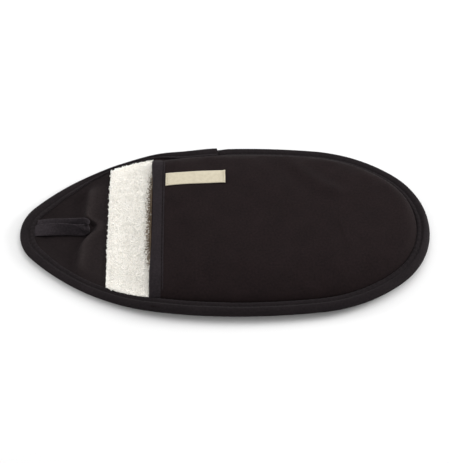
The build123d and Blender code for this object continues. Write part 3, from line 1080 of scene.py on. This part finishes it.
def facingPiece():
    mesh = panelMesh("cuffFacing", backInsets, cuff["innerSteps"], cuff["stations"], facingTop)
    piece = cleanMesh(newObject("cuffFacing", mesh), [(cuffEdge, False)])
    with editing(piece.data) as bm:
        edges = [e for e in bm.edges if e.is_boundary]
        edges = [e for e in edges if all(abs(v.co.x - cuffEdge) < 0.001 * mm for v in e.verts)]
        for dx, dz in cuff["hem"]:
            grown = bmesh.ops.extrude_edge_only(bm, edges=edges)["geom"]
            for v in [g for g in grown if isinstance(g, bmesh.types.BMVert)]:
                v.co += Vector((dx * mm, 0, dz * mm))
            edges = [g for g in grown if isinstance(g, bmesh.types.BMEdge)]
    piece = thicken(piece, cuff["cloth"])
    paintCrestHighlight(piece)
    return sewToBack(piece, "facing", "twill", "cuff_facing")


cuffFacing = facingPiece()
print("cuff facing ready")

# Hanging loop: a folded tape, flat where it is sewn in and leaning where it stands
loop = {
    "width": 11.0 * mm,
    "cloth": 1.2 * mm,
    "samples": 120,
    "path": [  # x, y and z in millimetres, and the tape's lean in degrees
        (-174.0, 1.3, 4.2, 2), (-168.6, 1.4, 5.5, 4), (-164.0, 1.6, 6.8, 9), (-157.0, 1.8, 7.5, 22),
        (-149.0, 1.6, 8.4, 42), (-140.0, 0.8, 9.3, 58), (-131.0, -0.1, 9.5, 63), (-124.8, -0.5, 9.6, 64),
        (-121.2, 0.4, 9.9, 63), (-119.8, 2.4, 10.4, 61), (-121.6, 4.8, 10.9, 59), (-126.0, 5.4, 11.2, 58),
        (-134.0, 4.9, 11.2, 56), (-142.0, 4.9, 10.6, 50), (-150.0, 6.2, 9.0, 36), (-157.0, 7.4, 7.2, 20),
        (-163.5, 8.0, 5.9, 7), (-168.6, 7.7, 5.0, 2), (-173.5, 7.4, 4.0, 0),
    ],
    "crease": 0.5 * mm,
    "seamDip": 0.16 * mm,
    "bendStart": (-170.5 * mm, 0, 12.8 * mm),
    "bendEnd": (-160.0 * mm, 0, 12.8 * mm),
}


# A smooth line through control points, in even steps
def throughPoints(control, samples):
    control = np.asarray(control, float)
    ends = 2 * control[:1] - control[1:2], 2 * control[-1:] - control[-2:-1]
    padded = np.concatenate([ends[0], control, ends[1]])
    t = np.linspace(0, len(control) - 1, samples * 4)
    k = np.minimum(t.astype(int), len(control) - 2)
    f = (t - k)[:, None]
    a, b, c, d = (padded[k + m] for m in range(4))
    bend = (2 * a - 5 * b + 4 * c - d) * f ** 2 + (3 * b - a - 3 * c + d) * f ** 3
    curve = 0.5 * (2 * b + (c - a) * f + bend)
    length = runLength(curve[:, :3])
    even = np.linspace(0, length[-1], samples)
    return readAt(even, length, curve), even


# The tape's section in millimetres, across and through it, with rounded edges
def loopSection():
    h, t = loop["width"] / 2 / mm, loop["cloth"] / 2 / mm
    across = np.linspace(-h + 1.2, h - 1.2, 9)
    section = [(-h, -t * 0.4), (-h + 0.35, -t)] + [(k, -t) for k in across]
    section += [(h - 0.35, -t), (h, -t * 0.4), (h, t * 0.4), (h - 0.35, t)]
    return section + [(k, t) for k in across[::-1]] + [(-h + 0.35, t), (-h, t * 0.4)]


def loopPiece():
    control = np.array(loop["path"])
    control[:, :3] *= mm
    line, along = throughPoints(control, loop["samples"])
    place, lean = line[:, :3], np.radians(line[:, 3])
    heading = unit(np.gradient(place, axis=0))
    across = np.stack([0 * lean, np.cos(lean), np.sin(lean)], -1)
    across = unit(across - heading * (across * heading).sum(1)[:, None])
    face = np.cross(heading, across)
    fold = np.exp(-(((along / along[-1]) - 0.5) / 0.13) ** 2)
    seam = loop["width"] / 2 / mm - 1.6
    section = loopSection()
    rows = []
    for a, b in section:
        crumple = fold * np.sin(along / (2.6 * mm) + a * 0.7) + 0.35 * np.sin(along / (7.0 * mm) + a * 0.5)
        dip = -loop["seamDip"] * np.sign(b) * np.exp(-((abs(a) - seam) / 0.35) ** 2)
        rows.append(place + across * (a * mm) + face * (b * mm + loop["crease"] * crumple + dip)[:, None])
    piece = tapePiece("hangingLoop", np.array(rows), runLength(section + section[:1]) * mm, along)
    dress(piece, "loop")
    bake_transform(piece)
    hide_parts("hanging_loop")
    return piece


loopPiece()
print("hanging loop ready")


# Heights and normals over finished pieces, looking down on them
def surfaceOf(*pieces):
    trees = []
    for piece in pieces:
        bm = bmesh.new()
        bm.from_mesh(piece.data)
        trees.append(BVHTree.FromBMesh(bm))
        bm.free()

    def height(x, y):
        hits = [tree.ray_cast(Vector((x, y, 0.2)), Vector((0, 0, -1))) for tree in trees]
        best = max((hit for hit in hits if hit[0] is not None), key=lambda hit: hit[0].z)
        return best[0].z, best[1]

    return height


# Label: a bare woven ribbon, its free end lifted a little
labelLow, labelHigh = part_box("label")
ribbon = {
    "length": 53.0 * mm,
    "width": 15.0 * mm,
    "start": labelLow.x + 0.2 * mm,
    "side": (labelLow.y + labelHigh.y) / 2,
    "cloth": 0.45 * mm,
    "lift": 0.6 * mm,
    "liftFrom": 38.0 * mm,
    "turnIn": 2.2 * mm,
    "hem": 0.28 * mm,
    "flare": 0.35 * mm,
    "seamIn": 1.6 * mm,
    "seamSide": 1.3 * mm,
}
ribbonStitches = {"pitch": 2.2 * mm, "length": 1.6 * mm, "rise": 0.22 * mm, "radius": 0.17 * mm}
overPocket = surfaceOf(pocketShell, mouthBinding)


def sheetTerms(a, b):
    return [1, a, b, b * b, a * a]


# A smooth sheet fitted to the pocket under the label, raised to clear it
def labelFit():
    length, width = ribbon["length"], ribbon["width"]
    spots = [(a, b) for a in np.linspace(0, length, 25) for b in np.linspace(-width / 2, width / 2, 9)]
    terms = np.array([sheetTerms(a, b) for a, b in spots])
    found = np.array([overPocket(ribbon["start"] + a, ribbon["side"] + b)[0] for a, b in spots])
    weights = np.linalg.lstsq(terms, found, rcond=None)[0]
    weights[0] += max(0, float((found - terms @ weights).max()))
    return weights


labelSheet = labelFit()


# A place on the label's face, from distances along it and across from its middle
def labelTop(a, b):
    rise = float(ramp(a, ribbon["liftFrom"], ribbon["length"] - ribbon["liftFrom"]))
    wave = 0.12 * mm * math.sin(a / (5.5 * mm) + b / (6 * mm)) + 0.1 * mm * math.sin(a / (11 * mm) - 1)
    base = float(labelSheet @ np.array(sheetTerms(a, b)))
    return ribbon["start"] + a, ribbon["side"] + b, base + ribbon["cloth"] + ribbon["lift"] * rise + wave


def labelPiece():
    length, width = ribbon["length"], ribbon["width"]
    a = np.linspace(0, length, 55)
    b = np.linspace(-width / 2, width / 2, 17)
    points = np.array([[labelTop(p, q) for p in a] for q in b])
    points[:, :, 2] += ribbon["hem"] * ramp(a, length - ribbon["turnIn"], 0.7 * mm)[None, :]
    flare = ribbon["flare"] * ramp(a, length - 3 * mm, 3 * mm)
    points[:, :, 1] += flare[None, :] * (np.sign(b) * (np.abs(b) / (width / 2)) ** 3)[:, None]
    piece = newObject("wovenLabel", gridMesh("wovenLabel", points, sectionUv(b, a)))
    return sewToPocket(thicken(piece, ribbon["cloth"]), "label", "label_cloth", "label")


label = labelPiece()
print("label ready")


# Geometry Nodes: a tree with a named input for each of its sizes
class Tree:
    def __init__(self, name, sizes):
        self.tree = bpy.data.node_groups.new(name, "GeometryNodeTree")
        face = self.tree.interface
        face.new_socket("Geometry", in_out="INPUT", socket_type="NodeSocketGeometry")
        face.new_socket("Geometry", in_out="OUTPUT", socket_type="NodeSocketGeometry")
        self.sizes = {}
        for key, value in sizes.items():
            kind = "NodeSocketInt" if isinstance(value, int) else "NodeSocketFloat"
            socket = face.new_socket(key, in_out="INPUT", socket_type=kind)
            self.sizes[socket.identifier] = value
        self.start = self.tree.nodes.new("NodeGroupInput")
        self.end = self.tree.nodes.new("NodeGroupOutput")

    def given(self, key):
        return self.start.outputs[key]

    def node(self, kind, settings=None, inputs=None, output=0):
        node = self.tree.nodes.new(kind)
        for key, value in (settings or {}).items():
            setattr(node, key, value)
        for key, value in (inputs or {}).items():
            if isinstance(value, bpy.types.NodeSocket):
                self.tree.links.new(value, node.inputs[key])
            else:
                node.inputs[key].default_value = value
        return node.outputs[output]

    def combine(self, x, y, z):
        return self.node("ShaderNodeCombineXYZ", None, {"X": x, "Y": y, "Z": z})

    def scaled(self, value, by):
        return self.node("ShaderNodeMath", {"operation": "MULTIPLY"}, {0: value, 1: by})

    # An arch of thread between two feet
    def arch(self, span, rise, radius, steps, sides):
        line = self.node("GeometryNodeCurveQuadraticBezier", None, {
            "Resolution": steps,
            "Start": self.combine(self.scaled(span, -0.5), 0.0, 0.0),
            "Middle": self.combine(0.0, 0.0, self.scaled(rise, 2.0)),
            "End": self.combine(self.scaled(span, 0.5), 0.0, 0.0),
        })
        ring = self.node("GeometryNodeCurvePrimitiveCircle", None, {"Resolution": sides, "Radius": radius})
        tube = {"Curve": line, "Profile Curve": ring, "Fill Caps": True}
        return self.node("GeometryNodeCurveToMesh", None, tube)

    def close(self, geometry, material):
        real = self.node("GeometryNodeRealizeInstances", None, {"Geometry": geometry})
        smoothed = self.node("GeometryNodeSetShadeSmooth", None, {"Geometry": real})
        painted = self.node("GeometryNodeSetMaterial", None, {"Geometry": smoothed, "Material": material})
        self.tree.links.new(painted, self.end.inputs[0])

    # Runs the tree on an object and leaves a plain mesh
    def run(self, piece):
        modifier = piece.modifiers.new("nodes", "NODES")
        modifier.node_group = self.tree
        for identifier, value in self.sizes.items():
            modifier[identifier] = value
        return applyModifiers(piece)


def stitchTree(finish, sizes):
    tree = Tree("stitches", {key: sizes[key] for key in ("length", "rise", "radius")})
    thread = tree.arch(tree.given("length"), tree.given("rise"), tree.given("radius"), 6, 6)
    named = {"data_type": "FLOAT_VECTOR"}
    along = tree.node("GeometryNodeInputNamedAttribute", named, {"Name": "along"})
    out = tree.node("GeometryNodeInputNamedAttribute", named, {"Name": "out"})
    aim = "FunctionNodeAlignRotationToVector"
    first = tree.node(aim, {"axis": "X"}, {"Vector": along})
    second = tree.node(aim, {"axis": "Z", "pivot_axis": "X"}, {"Rotation": first, "Vector": out})
    placed = tree.node(
        "GeometryNodeInstanceOnPoints", None,
        {"Points": tree.given("Geometry"), "Instance": thread, "Rotation": second},
    )
    tree.close(placed, finishes[finish])
    return tree


# Places, headings and outward directions of the stitches along a line
def stitchRow(line, out, sizes):
    line, out = np.asarray(line, float), np.asarray(out, float)
    length = runLength(line)
    count = max(1, round(length[-1] / sizes["pitch"]))
    even = (np.arange(count) + 0.5) * length[-1] / count
    heading = readAt(even, length, np.gradient(line, axis=0))
    return readAt(even, length, line), unit(heading), readAt(even, length, out)


def stitchPiece(name, rows, finish, sizes):
    place, along, out = (np.concatenate(part) for part in zip(*rows))
    mesh = bpy.data.meshes.new(name)
    mesh.from_pydata(place.tolist(), [], [])
    for key, values in (("along", along), ("out", out)):
        layer = mesh.attributes.new(key, "FLOAT_VECTOR", "POINT")
        layer.data.foreach_set("vector", values.astype(np.float32).reshape(-1))
    return stitchTree(finish, sizes).run(newObject(name, mesh))


def edgeRows():
    rim, normal = rimAt(np.linspace(0, rimLength, 1200))
    width = lipWidth(*rim.T)
    inset = width - binding["seamIn"] * width / plan["tapeWidth"]
    place = rim - normal * inset[:, None]
    z = lipTop(*rim.T) - 0.42 * mm
    up = np.tile([0.0, 0.0, 1.0], (len(rim), 1))
    under = rim - normal * (plan["tapeWidth"] - binding["seamIn"])
    low = np.full_like(z, rimLow.z + 0.3 * mm)
    upper = stitchRow(np.column_stack([place, z]), up, stitches)
    return [upper, stitchRow(np.column_stack([under, low]), -up, stitches)]


# The mouth's row stops short of the rim at both ends
def mouthRow():
    y, z, slope, _ = mouthPath()
    out = np.stack([0 * y, -slope[:, 1], slope[:, 0]], -1)
    x = np.full_like(y, mouthX + mouth["width"] - mouth["seamIn"])
    row = np.column_stack([x, y, z]) + out * 0.05 * mm
    return stitchRow(row[6:-6], out[6:-6], stitches)


def facingRow():
    overCuff = surfaceOf(cuffFacing)
    x = cuffEdge - 2.5 * mm
    reach = float(halfWidth(seamX)) - 13 * mm
    spots = [(y, *overCuff(x, y)) for y in np.linspace(-reach, reach, 90)]
    return stitchRow([(x, y, z - 0.12 * mm) for y, z, _ in spots], [tuple(n) for _, _, n in spots], stitches)


# A row across each end of the label, the second on its turned hem
def labelRows():
    side = ribbon["width"] / 2 - ribbon["seamSide"]
    rows = []
    for a, lift in ((ribbon["seamIn"], 0), (ribbon["length"] - ribbon["seamIn"], ribbon["hem"])):
        line = np.array([labelTop(a, b) for b in np.linspace(-side, side, 24)])
        line = line + np.array([0, 0, 0.05 * mm + lift])
        rows.append(stitchRow(line, np.tile([0.0, 0.0, 1.0], (24, 1)), ribbonStitches))
    return rows


edgeStitching = stitchPiece("edgeStitching", edgeRows(), "thread", stitches)
sewToBack(edgeStitching, "thread", "thread", "edge_stitching")
mouthStitching = stitchPiece("mouthStitching", [mouthRow()], "thread", stitches)
sewToPocket(mouthStitching, "thread", "thread", "mouth_stitching")
facingStitching = stitchPiece("facingStitching", [facingRow()], "thread", stitches)
sewToBack(facingStitching, "thread", "thread", "facing_stitching")
labelStitching = stitchPiece("labelStitching", labelRows(), "labelThread", ribbonStitches)
sewToPocket(labelStitching, "labelThread", "label_thread", "label_stitching")
print("stitching ready")

# Terry pile: loops of thread standing on the strip and on into the mouth
pile = {
    "spacing": 0.84 * mm,
    "density": 1600000.0,
    "height": 1.0 * mm,
    "span": 0.9 * mm,
    "radius": 0.3 * mm,
    "seed": 7,
    "grid": 0.6 * mm,
    "sunk": 0.1 * mm,
    "into": 7.0 * mm,
    "farInset": 5.1 * mm,
    "nearInset": 10.5 * mm,
    "ragged": 4.5 * mm,
    "setBack": 0.4 * mm,
    "nearSetBack": 0.9 * mm,
    "leanLow": (-0.45, -0.45, 1.0),
    "leanHigh": (0.45, 0.45, 2.1),
    "sizeLow": (0.75, 0.85, 0.75),
    "sizeHigh": (1.35, 1.15, 1.2),
}


def pileTree():
    keys = ("spacing", "density", "height", "span", "radius", "seed")
    tree = Tree("terryLoops", {key: pile[key] for key in keys})
    spread = tree.tree.nodes.new("GeometryNodeDistributePointsOnFaces")
    spread.distribute_method = "POISSON"
    sockets = {"Mesh": "Geometry", "Distance Min": "spacing", "Density Max": "density", "Seed": "seed"}
    for socket, name in sockets.items():
        tree.tree.links.new(tree.given(name), spread.inputs[socket])
    thread = tree.arch(tree.given("span"), tree.given("height"), tree.given("radius"), 4, 3)
    draw = "FunctionNodeRandomValue", {"data_type": "FLOAT_VECTOR"}
    turn = tree.node(*draw, {"Min": pile["leanLow"], "Max": pile["leanHigh"], "Seed": 3})
    size = tree.node(*draw, {"Min": pile["sizeLow"], "Max": pile["sizeHigh"], "Seed": 5})
    lean = tree.node("FunctionNodeEulerToRotation", None, {"Euler": turn})
    stand = tree.node(
        "FunctionNodeRotateRotation", {"rotation_space": "LOCAL"},
        {"Rotation": spread.outputs["Rotation"], "Rotate By": lean},
    )
    placed = tree.node(
        "GeometryNodeInstanceOnPoints", None,
        {"Points": spread.outputs["Points"], "Instance": thread, "Rotation": stand, "Scale": size},
    )
    tree.close(placed, finishes["pile"])
    return tree


# The ground that the loops stand on, trimmed back from the rim and from the facing
def pileGround():
    xs = np.arange(cuffEdge - 0.2 * mm, mouthX + pile["into"], pile["grid"])
    reach = float(halfWidth(mouthX))
    x, y = np.meshgrid(xs, np.arange(-reach, reach, pile["grid"]), indexing="ij")
    d = insetAt(np.stack([x, y], -1))
    points = np.stack([x, y, terryHeight(x, y, d) - pile["sunk"]], -1)
    piece = newObject("terryPile", gridMesh("terryPile", points, np.stack([x, y], -1)))
    d = np.where(np.abs(y) < halfWidth(x), d, 0)
    ragged = pile["ragged"] * hills(x, y, 0.006, 31)
    low = d + ragged < np.where(y > 0, pile["farInset"], pile["nearInset"])
    setBack = pile["setBack"] + pile["nearSetBack"] * ramp(-y, 30 * mm, 20 * mm)
    low = (low | (x + 0.12 * ragged < cuffEdge + setBack)).reshape(-1)
    with editing(piece.data) as bm:
        bm.verts.ensure_lookup_table()
        bmesh.ops.delete(bm, geom=[bm.verts[k] for k in np.where(low)[0]], context="VERTS")
        bmesh.ops.reverse_faces(bm, faces=[f for f in bm.faces if f.normal.z < 0])
    return piece


def pilePiece():
    piece = pileTree().run(pileGround())
    dress(piece, "pile")
    points = pointsOf(piece)
    corners = np.zeros(len(piece.data.loops), np.int32)
    piece.data.loops.foreach_get("vertex_index", corners)
    piece.data.attributes.remove(piece.data.attributes["cloth"])
    layer = piece.data.uv_layers.new(name="cloth")
    layer.data.foreach_set("uv", (points[corners][:, :2] / mm).astype(np.float32).reshape(-1))
    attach(piece, "mitt")
    return piece


terryPile = pilePiece()
print("terry pile ready", len(terryPile.data.polygons))
